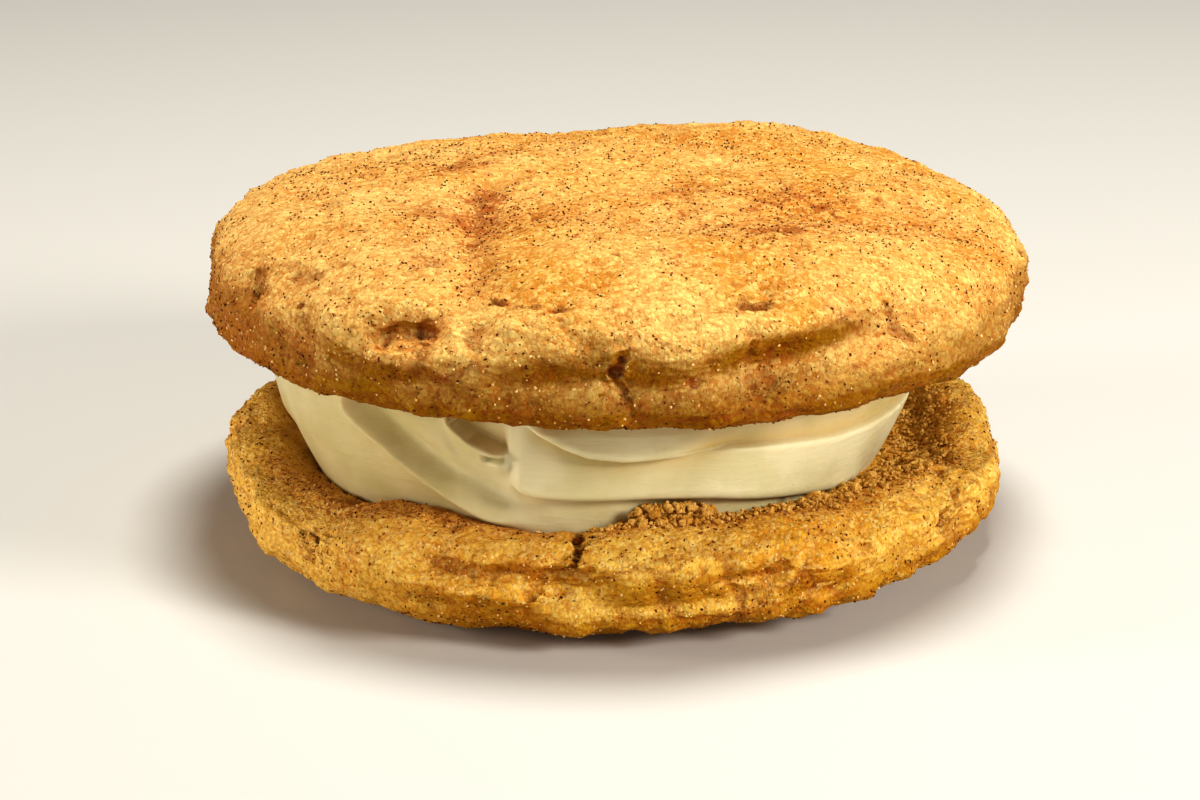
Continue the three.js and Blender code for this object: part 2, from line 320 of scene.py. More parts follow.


# %% [markdown]
# ## The crust's own surface
# A cookie's crust isn't noise laid on a ball. Its big form is in the solid already. What is left is finer:
# crumbs a millimetre or two across, fissures where the dough tore as it rose, and a few open pores. All of these
# follow a rule, so a Geometry Nodes tree makes them: it moves each point along its normal. Its sizes are named inputs.
#
# The tree also keeps three numbers on each point, how deep it lies in a fissure and in a pore, and how far the relief
# stands out, because the material paints hollows darker, as cinnamon and painted shade, and tips paler, as baking and
# painted light.

# %% How every tree starts and ends
def shape_tree(name, *sizes):
    """A Geometry Nodes tree with a named input for each size, and the outputs of its first node."""
    tree = bpy.data.node_groups.new(name, "GeometryNodeTree")
    for socket in ("Geometry", *sizes):
        kind = {"Geometry": "Geometry", "Seed": "Int"}.get(socket, "Float")
        tree.interface.new_socket(socket, in_out="INPUT", socket_type="NodeSocket" + kind)
    tree.interface.new_socket("Geometry", in_out="OUTPUT", socket_type="NodeSocketGeometry")
    return tree, tree.nodes.new("NodeGroupInput").outputs


def dressed(tree, shape, material):
    """The tree, ended by making its copies real and giving them their material."""
    real = add(tree, "GeometryNodeRealizeInstances", {"Geometry": shape}).outputs[0]
    done = add(tree, "GeometryNodeSetMaterial", {"Geometry": real, "Material": material}).outputs[0]
    tree.links.new(done, tree.nodes.new("NodeGroupOutput").inputs[0])
    return tree


# %% The tree that roughens a crust
def crust_relief_tree(name, material):
    tree, given = shape_tree(name, "Crumb Height", "Grain Height", "Puff Height", "Fissure Depth", "Pore Depth")
    place = add(tree, "GeometryNodeInputPosition").outputs[0]
    normal = add(tree, "GeometryNodeInputNormal").outputs[0]

    crumb = calc(tree, "SUBTRACT", noise_at(tree, place, 3.0, 4.0, 0.62)[0], 0.5)
    crumb = times(tree, crumb, given["Crumb Height"])
    grain = calc(tree, "SUBTRACT", 0.45, cells_at(tree, place, 1.1)["Distance"])
    grain = times(tree, grain, given["Grain Height"])

    # Dough swells in puffs with creases between them, along the borders of wandering cells. In some regions a
    # crease has torn open into a fissure.
    border = cells_at(tree, shaken(tree, place, 2.2, 3.0, 3.0), 5.5, "DISTANCE_TO_EDGE")["Distance"]
    sides = ramped(tree, calc(tree, "ABSOLUTE", part_of(tree, normal, 2)), 0.6, 0.95, 1.0, 0.35)
    puff = times(tree, ramped(tree, border, 0.0, 0.42), times(tree, sides, given["Puff Height"]))
    region = ramped(tree, noise_at(tree, place, 13.0, 1.0)[0], 0.50, 0.60)
    fissure = times(tree, ramped(tree, border, 0.0, 0.10, 1.0, 0.0), times(tree, region, sides))

    # Pores are small round holes in about one cell in six.
    hole = cells_at(tree, place, 3.6)
    chosen = ramped(tree, part_of(tree, hole["Color"], 0), 0.80, 0.86)
    pore = times(tree, ramped(tree, hole["Distance"], 0.07, 0.2, 1.0, 0.0), chosen)

    out = calc(tree, "ADD", calc(tree, "ADD", crumb, grain), puff)
    for less, by in ((given["Puff Height"], 0.6), (fissure, given["Fissure Depth"]), (pore, given["Pore Depth"])):
        out = calc(tree, "SUBTRACT", out, times(tree, less, by))

    shape = given["Geometry"]
    for kept, value in (("fissure", fissure), ("pore", pore), ("relief", calc(tree, "DIVIDE", out, MM))):
        shape = add(tree, "GeometryNodeStoreNamedAttribute",
                    {"Geometry": shape, "Name": kept, "Value": value}, data_type="FLOAT", domain="POINT").outputs[0]
    moved = add(tree, "GeometryNodeSetPosition", {"Geometry": shape, "Offset": scaled(tree, normal, out)}).outputs[0]
    return dressed(tree, moved, material)


UPPER_RELIEF = crust_relief_tree("upper_relief", UPPER_FINISH)
LOWER_RELIEF = crust_relief_tree("lower_relief", LOWER_FINISH)


def run_tree(piece, tree, sizes):
    """Runs a tree on a piece with its named sizes, and keeps the result as a plain mesh."""
    modifier = piece.modifiers.new(tree.name, "NODES")
    modifier.node_group = tree
    sockets = {s.name: s.identifier for s in tree.interface.items_tree if s.in_out == "INPUT"}
    for name, value in sizes.items():
        modifier[sockets[name]] = value
    return applied(piece)


# %% [markdown]
# ## Marks that have a place of their own
# The photo shows certain cracks, pits and red-brown patches of cinnamon in certain places. Each is written as a
# width and a depth in millimetres, or a strength for cinnamon, and a short path of places. A point's share in a mark
# falls off with its distance from the path, and a little noise in that distance keeps the edges ragged.

# %% Cracks, pits and cinnamon patches
def mark(width, depth, *path, dark=1.0):
    """A mark along a path of places. Dark is how much darker a crack is painted, as cinnamon in it and as painted
    shade.
    """
    return {"width": width, "depth": depth, "path": path, "dark": dark}


UPPER_CRACKS = [
    # the crescent pit at the lower left, deepest at its right end
    mark(0.42, 0.22, (-20.6, -33.4, 29.4), (-18.6, -34.3, 30.2), (-17.2, -34.7, 30.5), dark=0.4),
    mark(0.32, 0.5, (-17.6, -34.5, 30.4), (-16.3, -34.9, 30.6), dark=0.8),
    # the small pit right of the middle
    mark(0.5, 0.7, (11.6, -33.7, 33.3), (13.4, -33.3, 33.2)),
    # the leaf-shaped slit in the middle, and the faint crack that runs on from it
    mark(0.34, 0.8, (0.75, -39.4, 29.4), (0.35, -39.6, 28.3)),
    mark(0.25, 0.3, (0.2, -39.6, 27.2), (1, -39.6, 26), (1.5, -39, 24.4), dark=0.4),
    # small notches at the left end
    mark(0.6, 0.35, (-33.9, -18, 30.9), (-34.2, -19.4, 29.2), dark=0.5),
    mark(0.5, 0.35, (-29.8, -21.3, 32.2), (-26.8, -23.4, 32.9), dark=0.45),
    mark(0.6, 0.4, (-17.2, -26.9, 34.9), (-16.3, -26.2, 35), dark=0.5),
    # right of the middle, above the rim
    mark(0.4, 0.3, (12.8, -37.2, 28.6), (13.1, -37.4, 26.4), dark=0.5),
    mark(0.35, 0.4, (25.6, -28.6, 31.4), (26.2, -28.9, 29.9), (27.4, -28.8, 28.2), dark=0.6),
    # the torn step along the crest
    mark(0.34, 0.6, (-10.8, -33.4, 33.7), (-10.2, -33.9, 33.6)),
    mark(0.26, 0.25, (-9.4, -34.7, 33.5), (-6.5, -35.6, 33.3), dark=0.5),
    mark(0.36, 0.5, (-5.3, -35.9, 33), (-4.7, -35.9, 33), dark=0.8),
]

LOWER_CRACKS = [
    mark(0.6, 0.4, (-29.8, -25.3, 6.8), (-29.2, -25.8, 5.6), dark=0.5),
    mark(0.4, 0.5, (-27.5, -27.7, 6.2), (-27.2, -28.1, 6), dark=0.6),
    mark(0.4, 0.3, (-17.3, -33.7, 8.7), (-14.1, -35.5, 8.4), (-10.9, -36.8, 8.2), (-8.6, -37.8, 7.6), dark=0.5),
    mark(0.5, 0.5, (-7.4, -38.1, 7.3), (-3.2, -38.6, 7.4), dark=0.5),
    mark(0.45, 0.9, (-3.2, -32.6, 12.2), (-3.4, -34.2, 11.8)),
    mark(0.28, 0.7, (-3.3, -34.2, 11.6), (-3, -35.6, 10.4), (-3.7, -37.8, 8.2), dark=0.8),
    mark(0.4, 0.3, (15.8, -34.8, 7.7), (12.6, -36.3, 7.3), (9.4, -37.4, 6.8), dark=0.4),
    mark(0.35, 0.4, (31, -15.8, 10.6), (32.4, -17.4, 9.4), (32.7, -18.9, 8.6), (31.7, -21.8, 7), dark=0.5),
    mark(0.5, 0.3, (23.7, -29.9, 8), dark=0.4),
    mark(0.4, 0.4, (20.2, -32.8, 5.6), (18, -34.1, 4.8), dark=0.5),
]

# Broader lumps and hollows: a positive depth is a hollow and a negative one a lump. The material paints these hollows
# darker, as painted shade.
UPPER_FORMS = [
    # the hollow at the lower right with its lip, and the shaded trough left of it
    mark(2.4, 0.4, (15.5, -35.6, 26.6), (18.5, -33.9, 27.3), (21.5, -31.9, 27.9), (23.5, -30.5, 28.2)),
    mark(1.8, -0.3, (14.8, -37, 24.6), (19.6, -34.6, 24.9), (24.5, -31.4, 25.9), (27.8, -28.2, 27)),
    mark(2, 0.2, (-4.7, -39.3, 27.2), (0.6, -39.5, 26.8), (7.7, -39, 27.3), (11.5, -37.5, 27.2)),
    mark(1.5, -0.4, (-4.7, -39, 24.8), (2.4, -39, 24.4), (9.4, -38.6, 24.8)),
    mark(2, -0.8, (-17.5, -34.5, 23), (-10, -37.4, 22.7), (-2, -38.4, 22.7)),
    # the crescent pit's brow and the lit lump under it
    mark(1, 0.25, (-20.8, -33.3, 29.4), (-18.5, -34.3, 30.4), (-16, -34.9, 30.5)),
    mark(1.5, -0.5, (-21.3, -34, 27.6), (-19, -35.3, 27.9), (-15.6, -36.2, 29.2)),
    # the dent near the left end, and the crease under it
    mark(1.8, 0.5, (-33.8, -18.6, 30)),
    mark(1.1, 0.3, (-28.9, -26.8, 28.2), (-28.4, -27.4, 24.5)),
    mark(2.4, -0.5, (-31.7, -23.3, 27)),
    mark(2.4, -0.5, (-25.7, -29.6, 30.4)),
    # the crest left of the middle: its lumps, and the step above them
    mark(0.9, 0.25, (-10.8, -33.4, 33.6), (-8.7, -34.9, 33.5), (-6.5, -35.4, 33.4), (-4.7, -35.4, 33.4)),
    mark(1.6, -0.6, (-9.1, -36.4, 32.4)),
    mark(1.4, -0.6, (-6, -37.2, 32.4)),
    mark(1.5, -0.6, (-3.3, -37.3, 32.8)),
    mark(1.6, -0.5, (-1.1, -38.4, 31.8)),
    mark(2, -0.4, (2.4, -36.6, 33.2)),
    mark(2.2, -0.5, (9.5, -36.9, 31.8), (16.6, -34.6, 31.2)),
    # the groove that parts the two lobes, and dents far back on the top
    mark(1.3, 0.5, (-13.4, -5, 35.2), (-12.8, -22, 35.2), (-12.7, -30.6, 33.6)),
    mark(1.8, 0.7, (-11.6, -1.2, 35.6)),
    mark(1.8, 0.6, (-16.7, 8.4, 35.2)),
    # what makes the far outline rise and fall
    mark(3.5, 0.9, (-24.2, 14, 33.7)),
    mark(5, -0.5, (-15, 20, 35)),
    mark(3.5, 0.7, (-3.9, 20, 35)),
    mark(3, 0.5, (3.6, 22, 35)),
    mark(6, -0.8, (13.5, 22, 34.5)),
    # the nicked right end
    mark(1.6, -0.6, (38.6, -3, 31)),
    mark(0.9, 0.5, (39.8, -4, 29.6)),
    mark(1.3, -0.5, (40.2, -4, 28.4)),
    mark(2, -0.4, (40.6, -4, 25.4)),
]

LOWER_FORMS = [
    mark(1.1, 0.4, (-16.5, -34.4, 8.6), (-11, -37, 8.1), (-7, -38.2, 7.6)),
    mark(1.3, -0.4, (-17.5, -35.3, 6.8), (-11, -38, 6.3)),
    mark(0.9, 0.3, (-3.1, -33.5, 11.3), (-3.4, -36, 10)),
    mark(1.4, 0.3, (-29.6, -25.2, 6.4), (-27.4, -27.8, 6)),
    mark(2.6, -0.4, (-22, -31, 10), (-15, -34.8, 10.6), (-8, -36.6, 10.4)),
    mark(3, -0.4, (4, -37, 9.6), (12, -35, 9.4)),
    mark(1.7, 1.2, (0.6, -35.5, 1.2)),
    # the ledge that the cream stands on at the left, and the swell under the crumbs
    mark(2.6, -0.5, (-27, -17, 9), (-24, -20.5, 9)),
    mark(2.6, -1.6, (-20, -24, 9), (-15.7, -27, 9)),
    mark(2.4, -0.5, (-13, -28.3, 9), (-9, -29.8, 9)),
    mark(2, -1, (4, -31.2, 9), (7, -30.4, 9)),
]

# Where the solid's triangles are too coarse for what is there.
UPPER_ZONES = [[(-6.0, -38.6, 27.5), (6.0, -38.8, 27.0)], [(-20.0, -33.5, 29.8), (-16.0, -34.9, 30.2)],
               [(13.0, -37.0, 27.0), (24.0, -31.0, 28.0)]]
LOWER_ZONES = [[(-20.0, -33.0, 8.0), (-10.0, -37.0, 7.5), (0.0, -38.5, 7.0), (12.0, -36.5, 7.0)]]

UPPER_DUST = [
    mark(6, 0.55, (-12.8, -11.2, 35.9), (7.9, -15, 36), (22, -13.6, 35.1), (34, -7, 32.5)),
    mark(2, 0.5, (-12.2, -2.4, 35.9), (-12.4, -16.8, 35.8), (-12.5, -31.9, 33.8)),
    mark(3, 0.9, (-15.9, 6.2, 35.6)),
    mark(1.9, 0.9, (-12.1, -4.2, 35.9)),
    mark(2.2, 0.6, (-17.5, -11.5, 35.6)),
    mark(4, 0.7, (7.2, -3.7, 35.7)),
    mark(4.5, 0.7, (17.8, -4.4, 35.4)),
    mark(3.2, 0.7, (15.3, -17.1, 35.6)),
    mark(1.6, 0.8, (5.4, -28.6, 35.2)),
    mark(2, 0.7, (-16.8, -25.9, 34.7)),
    mark(6, 0.5, (-38.5, -4, 25), (-34, -20, 25)),
    mark(6, 0.35, (-24, 8, 34.6), (-4, 16, 35.6), (16, 14, 35.2)),
    mark(5, 0.12, (-34, -4, 32), (-28, 16, 33)),
]

LOWER_DUST_AND_SHADE = [
    # the trough beside the cream, which is also painted shade, the lower left and the inside of the right rim
    mark(2.2, 0.8, (-33, -12, 11), (-28, -19.5, 11.3), (-22, -25.5, 11.3), (-14, -30, 11.3), (-6, -32, 11.3)),
    mark(2, 0.5, (6, -33.5, 11.5), (20, -28, 11.5), (31, -16, 12), (34, -4, 12.5)),
    mark(3, 0.15, (-31, -23, 8), (-24, -30, 6)),
]


def laid_on(surface, path):
    """The path with a place every millimetre, each moved to the nearest of the surface's points."""
    places = np.array(path, float) + AXIS
    steps = [places[:1]]
    for start, end in zip(places[:-1], places[1:]):
        count = max(1, round(float(np.linalg.norm(end - start))))
        steps.append(start + (end - start) * (np.arange(1, count + 1) / count)[:, None])
    return np.array([surface.find(place)[0] for place in np.concatenate(steps)])


def tree_of(points):
    tree = KDTree(len(points))
    for number, point in enumerate(points):
        tree.insert(point, number)
    tree.balance()
    return tree


def distance_to_path(points, places):
    """The distance of every point to a line through the places, in millimetres; far points all count as 99."""
    distance = np.full(len(points), 99.0)
    close = np.all((points > places.min(0) - 12) & (points < places.max(0) + 12), axis=1)
    here = points[close]
    nearest = np.linalg.norm(here - places[0], axis=1)
    for start, end in zip(places[:-1], places[1:]):
        along = end - start
        share = np.clip((here - start) @ along / max(along @ along, 1e-9), 0, 1)
        nearest = np.minimum(nearest, np.linalg.norm(here - start - share[:, None] * along, axis=1))
    distance[close] = nearest
    return distance


def ragged(points, size, seed):
    """A smooth wander between about -1 and 1, from a few crossed waves of mixed direction."""
    draw = np.random.default_rng(seed)
    total = np.zeros(len(points))
    for _ in range(12):
        direction = draw.normal(size=3)
        direction *= draw.uniform(0.7, 1.5) / np.linalg.norm(direction)
        total += np.sin(points @ direction * (2 * math.pi / size) + draw.uniform(0, 2 * math.pi))
    return total / 3.5


def marked(points, surface, marks, seed, wander=0.35, lip=0.0):
    """How deep the marks go at every point, in millimetres, and the strongest share in any of them. A lip is the
    raised border of a crack, as a share of its depth."""
    depth = np.zeros(len(points))
    share = np.zeros(len(points))
    shake = ragged(points, 2.2, seed)
    for mark in marks:
        distance = distance_to_path(points, laid_on(surface, mark["path"])) * (1 + wander * shake)
        here = np.exp(-((distance / mark["width"]) ** 2))
        border = np.exp(-(((distance - 2.1 * mark["width"]) / mark["width"]) ** 2))
        depth += mark["depth"] * (here - lip * border)
        share = np.maximum(share, here * mark["dark"])
    return depth, share


# %% [markdown]
# ## From a solid to a crust
# The solid has triangles two millimetres wide. A copy is merged into one skin, because the frame hands over loose
# triangles, and two rounds of subdivision round it off and give points half a millimetre apart. Its ridges are
# evened out, the placed marks are pressed in, and the tree adds the crumb. The baked side of each cookie, which lay
# on the tray, is flatter and browner, so each point also keeps how much it belongs to that side.

# %% Make the two crusts
BED_EDGE = {"upper": 35.5, "lower": 34.0}  # mm: the radius where the baked side turns into the rolled side
EVENED_ALL_OVER, EVENED_REACH, EVENED_ROUNDS = 0.25, 4.5, 36  # a share, millimetres and rounds
CRACK_REACH = 2.6  # mm: faces this near a crack are split
CRACK_LIP = 0.22


def skin_of(node, name):
    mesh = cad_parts[node].data.copy()
    mesh.materials.clear()
    mesh.name = name
    piece = new_piece(name, mesh)
    weld = piece.modifiers.new("weld", "WELD")
    weld.merge_threshold = 0.01 * MM
    rounding = piece.modifiers.new("rounding", "SUBSURF")
    rounding.levels = rounding.render_levels = 2
    applied(piece)
    for spare in ("sharp_edge", "sharp_face", "custom_normal"):
        if spare in piece.data.attributes:
            piece.data.attributes.remove(piece.data.attributes[spare])
    return piece


def evened(mesh, zones):
    """Evens out the ridges that the solid's long triangles leave: a little everywhere, and more near the zones,
    where a finer mark takes over from the solid's rough one."""
    points = points_of(mesh)
    surface = tree_of(points)
    share = np.full(len(points), EVENED_ALL_OVER)
    for zone in zones:
        away = distance_to_path(points, laid_on(surface, zone))
        share += (1 - EVENED_ALL_OVER) * np.exp(-((away / EVENED_REACH) ** 4))
    share = 0.5 * np.minimum(share, 1)[:, None]
    pairs = np.empty(len(mesh.edges) * 2, np.int32)
    mesh.edges.foreach_get("vertices", pairs)
    pairs = pairs.reshape(-1, 2)
    near, far = np.concatenate([pairs, pairs[:, ::-1]]).T
    count = np.bincount(near, minlength=len(points))[:, None]
    for _ in range(EVENED_ROUNDS):
        sums = [np.bincount(near, weights=points[far, axis], minlength=len(points)) for axis in range(3)]
        points = points + share * (np.stack(sums, 1) / count - points)
    move_points(mesh, points)


def split_near(mesh, marks):
    """Splits the faces near the marks in four, so that a fine crack has points enough to be drawn."""
    near = np.zeros(len(mesh.vertices), bool)
    points = points_of(mesh)
    surface = tree_of(points)
    for mark in marks:
        near |= distance_to_path(points, laid_on(surface, mark["path"])) < CRACK_REACH
    work = bmesh.new()
    work.from_mesh(mesh)
    edges = [e for e in work.edges if near[e.verts[0].index] and near[e.verts[1].index]]
    bmesh.ops.subdivide_edges(work, edges=edges, cuts=1, use_grid_fill=True)
    work.to_mesh(mesh)
    work.free()


def crust(node, name, cracks, forms, zones, dust, seed, relief, heights):
    piece = skin_of(node, name)
    mesh = piece.data
    upper = name.startswith("upper")
    evened(mesh, zones)
    split_near(mesh, cracks)
    points, normals = points_of(mesh), normals_of(mesh)
    surface = tree_of(points)
    broad = marked(points, surface, forms, seed + 2, 0.15)[0]
    depth, share = marked(points, surface, cracks, seed, lip=CRACK_LIP)
    dusted = marked(points, surface, dust, seed + 1)[0]
    move_points(mesh, points - normals * (depth + broad)[:, None])
    points, normals = points_of(mesh), normals_of(mesh)
    x, z, up = points[:, 0], points[:, 2], normals[:, 2]
    # Faces that look down are painted darker: toasting, and painted shade.
    toasted_and_shade = smooth_step(-up, -0.32, 0.25)
    if upper:  # its lower half is painted darker all round, as browning and painted shade, less so on the right
        rightwards = smooth_step(x, 14, 34)
        darker_below = 28.0 + 1.5 * rightwards + 3.0 * smooth_step(-x, 26, 36)
        below = smooth_step(darker_below - z, 0, 3.5) * (1 - 0.25 * rightwards)
        toasted_and_shade = np.maximum(toasted_and_shade, 0.85 * below)
        facing, edge = smooth_step(-up, 0.55, 0.95), BED_EDGE["upper"]
    else:  # and the lower one is painted less dark at its left end, as painted light
        toasted_and_shade *= 1 - 0.75 * smooth_step(-x, 12, 32)
        facing, edge = smooth_step(up, 0.2, 0.8) * smooth_step(z, 6, 9), BED_EDGE["lower"]
    reach = np.linalg.norm((points - AXIS)[:, :2], axis=1)
    baked = facing * (1 - smooth_step(reach, edge - 3.0, edge + 1.0))
    # The hollow number makes the material paint the placed hollows darker, as painted shade.
    for kept, values in (("crack", share), ("hollow", np.clip(broad, 0, 1)), ("dust", dusted), ("toasted_and_shade", toasted_and_shade),
                         ("baked", baked)):
        write_attribute(mesh, kept, values)
    run_tree(piece, relief, heights)
    lifted_to_table(piece.data)
    piece.data.shade_smooth()
    print(name, triangles(piece), "triangles")
    return piece


crust_heights = {"Crumb Height": 1.35 * MM, "Grain Height": 0.3 * MM, "Puff Height": 0.45 * MM,
                 "Fissure Depth": 0.15 * MM, "Pore Depth": 0.4 * MM}
upper_crust = crust("upper_cookie", "upper_crust", UPPER_CRACKS, UPPER_FORMS, UPPER_ZONES, UPPER_DUST, 11,
                    UPPER_RELIEF, crust_heights)
lower_crust = crust("lower_cookie", "lower_crust", LOWER_CRACKS, LOWER_FORMS, LOWER_ZONES, LOWER_DUST_AND_SHADE, 23,
                    LOWER_RELIEF, {**crust_heights, "Crumb Height": 1.15 * MM, "Puff Height": 0.55 * MM})


# %% [markdown]
# ## The buttercream
# The cream was piped round and round and then pressed flat, so its side shows long folds that start steeply under
# the upper cookie and level out to the right. Each fold is one line on the side of a bowl-shaped ring: the cream
# on one side of the line stands proud and sinks back slowly, and under the line there is a sharp little step.
# A sculpted mesh would do as well, but a formula keeps the folds where the solid has them, only crisper.

# %% The cream's folds
CREAM = {"foot": 28.0, "brim": 31.0, "belly": 1.8}
# Where the foot and the brim stand out: the bearing and the spread in degrees, and how far in millimetres.
FOOT_SWELLINGS = [(-25, 40, -1.9), (-145, 30, 2.6), (-100, 18, 3.3), (-68, 12, 1.5)]
BRIM_SWELLINGS = [(-165, 40, 3.0), (-30, 40, -1.5)]
# A fold is a line of (bearing, height in mm) across the side of the cream. The cream stands proud above or below it.
FOLDS = [
    # the left petal's upper neighbour, a narrow lit ridge that falls back into a soft valley
    dict(line=[(-141, 20.0), (-136, 17.7), (-131, 16.1), (-127, 14.5), (-123, 13.1), (-119, 12.0), (-114, 11.0),
               (-108, 10.0), (-101, 9.2)],
         proud=1, step=1.7, edge=0.7, reach=1.8, start=3, stop=12, under=0.5, gap=1.2, dip=1.3),
    # the next petal, with its right edge lifted over the hollow where the rolls begin
    dict(line=[(-120, 21.8), (-117, 19.7), (-114, 18.4), (-110, 17.5), (-107.4, 17.2)],
         proud=-1, step=1.5, edge=0.7, reach=2.2, start=2, stop=1.6, under=1.3, gap=2.4, dip=0.6),
    # the lower roll, which starts at an upright seam and crosses the front
    dict(line=[(-107.8, 14.6), (-106, 13.9), (-103, 13.4), (-96, 13.3), (-86, 13.2), (-72, 12.7), (-54, 10.8),
               (-42, 9.6), (-24, 8.6)],
         proud=1, step=1.5, edge=1.3, reach=2.4, start=3, stop=12, under=0.4, gap=1.0),
    # the upper roll, which dives in from under the cookie, and the ridge that carries it on to the right
    dict(line=[(-106, 20.6), (-98, 18.3), (-94, 17.5), (-88, 17.1), (-82, 17.2), (-76, 17.5), (-66, 17.9)],
         proud=1, step=1.5, edge=1.1, reach=2.4, start=4, stop=12, under=0.8, gap=1.4),
    dict(line=[(-82, 17.3), (-69, 17.4), (-58, 16.8), (-45, 15.8), (-32, 15.3), (-10, 14.6), (10, 14.4)],
         proud=-1, step=0.5, edge=0.7, reach=3.6, start=10, stop=12, under=0.8, gap=2.6),
    # the rest of the way round, unseen in the photo
    dict(line=[(12, 18.5), (20, 15.5), (30, 12.0), (40, 9.5)],
         proud=-1, step=0.9, edge=1.0, reach=4.0, start=3, stop=6),
    dict(line=[(20, 19.5), (32, 15.5), (50, 13.6), (90, 12.4), (130, 10.5)],
         proud=1, step=1.2, edge=1.2, reach=3.6, start=3, stop=14),
    dict(line=[(46, 20.0), (60, 17.8), (90, 16.8), (140, 15.6)],
         proud=1, step=0.9, edge=1.0, reach=2.8, start=4, stop=14),
    dict(line=[(142, 19.5), (155, 16.0), (175, 13.6), (196, 12.0)],
         proud=1, step=1.0, edge=1.1, reach=3.4, start=4, stop=10),
]
# The torn nick beside the seam: where it starts and ends, its height, its half width and its depth.
NICK = {"from": -112.0, "to": -107.9, "height": 16.7, "width": 0.35, "depth": 0.7}
CREAM_SECTORS, CREAM_ROWS = 720, 110
SUNK_IN = 0.35  # mm: the cream's skin ends this far inside each crust


def swelling(swellings, bearing):
    apart = [(bearing - at + 180) % 360 - 180 for at, _, _ in swellings]
    return sum(by * np.exp(-((a / spread) ** 2)) for a, (_, spread, by) in zip(apart, swellings))


def folded(bearing, height):
    """How far the folds push the cream's side out, in millimetres, at a bearing and a height, and how far the place
    is tucked under a fold, from 0 to 1, which the material paints as shade."""
    out, tucked = np.zeros_like(height), np.zeros_like(height)
    for fold in FOLDS:
        bearings, heights = zip(*fold["line"])
        along = (bearing - bearings[0]) % 360
        run = bearings[-1] - bearings[0]
        line = np.interp(along, np.array(bearings) - bearings[0], heights)
        ends = smooth_step(along, 0, fold["start"]) * (1 - smooth_step(along, run - fold["stop"], run))
        beyond = fold["proud"] * (height - line)
        over = np.clip(beyond / fold["edge"] + 0.15, 0, 1)
        rounded = np.sqrt(1 - (1 - over) ** 2)  # a rounded edge that overhangs
        out += ends * fold["step"] * rounded * np.exp(-np.maximum(0, beyond) / fold["reach"])
        # the hollow on the other side, right under the edge
        hidden = np.clip(-beyond / 0.3, 0, 1) * np.exp(-np.maximum(0, -beyond) / fold.get("gap", 1.0))
        under = fold.get("under", 0.0)
        out -= ends * under * hidden
        tucked = np.maximum(tucked, ends * np.minimum(1, 2.2 * under) * hidden)
        # the soft valley behind a narrow ridge
        out -= ends * fold.get("dip", 0.0) * np.exp(-(((beyond - 2.8) / 1.3) ** 2))
    return out, tucked


def nicked(bearing, height):
    """How much the nick is there, from 0 to 1."""
    along = (bearing - NICK["from"]) % 360
    run = NICK["to"] - NICK["from"]
    ends = smooth_step(along, 0, 0.6) * (1 - smooth_step(along, run - 0.5, run))
    return ends * np.exp(-(((height - NICK["height"]) / NICK["width"]) ** 2))


def edge_of(skin, radius, round_xy, way):
    """Where the cream's skin ends on a crust, in millimetres: the crust's height at each bearing, evened a little.
    The way is 1 to look up from between the cookies, and -1 to look down."""
    tree = BVHTree.FromObject(skin, bpy.context.evaluated_depsgraph_get())
    between = 16.0
    heights = []
    for x, y in radius[:, None] * round_xy + AXIS[:2]:
        hit = tree.ray_cast(Vector((x, y, between)) * MM, Vector((0, 0, way)))[0]
        heights.append(hit.z / MM if hit else between)
    return smooth_round(np.array(heights), 8) + way * SUNK_IN


def smooth_round(values, width):
    """Evens out a ring of numbers."""
    kernel = np.exp(-(np.linspace(-2, 2, 4 * width + 1) ** 2))
    kernel /= kernel.sum()
    return np.convolve(np.concatenate([values[-2 * width:], values, values[:2 * width]]), kernel, "valid")


def buttercream():
    bearings = np.linspace(0, 360, CREAM_SECTORS, endpoint=False)
    round_xy = np.stack([np.cos(np.radians(bearings)), np.sin(np.radians(bearings))], 1)
    foot = CREAM["foot"] + swelling(FOOT_SWELLINGS, bearings)
    brim = CREAM["brim"] + swelling(BRIM_SWELLINGS, bearings)
    floor = edge_of(lower_crust, foot, round_xy, -1)
    ceiling = edge_of(upper_crust, brim, round_xy, 1)

    rings = []
    for share in np.linspace(0, 1, CREAM_ROWS + 1):
        height = floor + (ceiling - floor) * share
        open_share = smooth_step(share, 0, 0.12) * (1 - smooth_step(share, 0.88, 1))
        radius = foot + (brim - foot) * (1 - (1 - share) ** CREAM["belly"]) + folded(bearings, height)[0] * open_share
        radius -= NICK["depth"] * nicked(bearings, height)
        rings.append(np.column_stack([radius[:, None] * round_xy, height]))
    # The hidden bottom and top are closed by rings that shrink to a point.
    caps = np.array([[0.6, 0.6, 1], [0.25, 0.25, 1]])
    rings = [rings[0] * cap for cap in caps[::-1]] + rings + [rings[-1] * cap for cap in caps]
    ends = [[0, 0, floor.mean()], [0, 0, ceiling.mean()]]
    points = np.concatenate([*rings, np.array(ends)]) + AXIS

    side = np.arange(CREAM_SECTORS)
    after = (side + 1) % CREAM_SECTORS
    faces = []
    for ring in range(len(rings) - 1):
        low, high = ring * CREAM_SECTORS, (ring + 1) * CREAM_SECTORS
        faces += np.stack([low + side, low + after, high + after, high + side], 1).tolist()
    last = (len(rings) - 1) * CREAM_SECTORS
    under, over = len(points) - 2, len(points) - 1
    faces += np.stack([np.full_like(side, under), after, side], 1).tolist()
    faces += np.stack([np.full_like(side, over), last + side, last + after], 1).tolist()
    mesh = bpy.data.meshes.new("cream_swirl")
    mesh.from_pydata((points * MM).tolist(), [], faces)
    mesh.shade_smooth()
    own = points - AXIS
    turned = np.degrees(np.arctan2(own[:, 1], own[:, 0]))
    write_attribute(mesh, "nick", nicked(turned, own[:, 2]))
    write_attribute(mesh, "tucked", folded(turned, own[:, 2])[1])
    return new_piece("cream_swirl", mesh)


cream_swirl = buttercream()
print("cream_swirl", triangles(cream_swirl), "triangles")


# %% [markdown]
# ## The buttercream's finish
# Buttercream is an oily foam: light goes a little way into it before it comes out again, which softens every shadow.
# Subsurface scattering does that. Its skin is smooth with a faint drag from the nozzle, and it holds tiny bubbles.

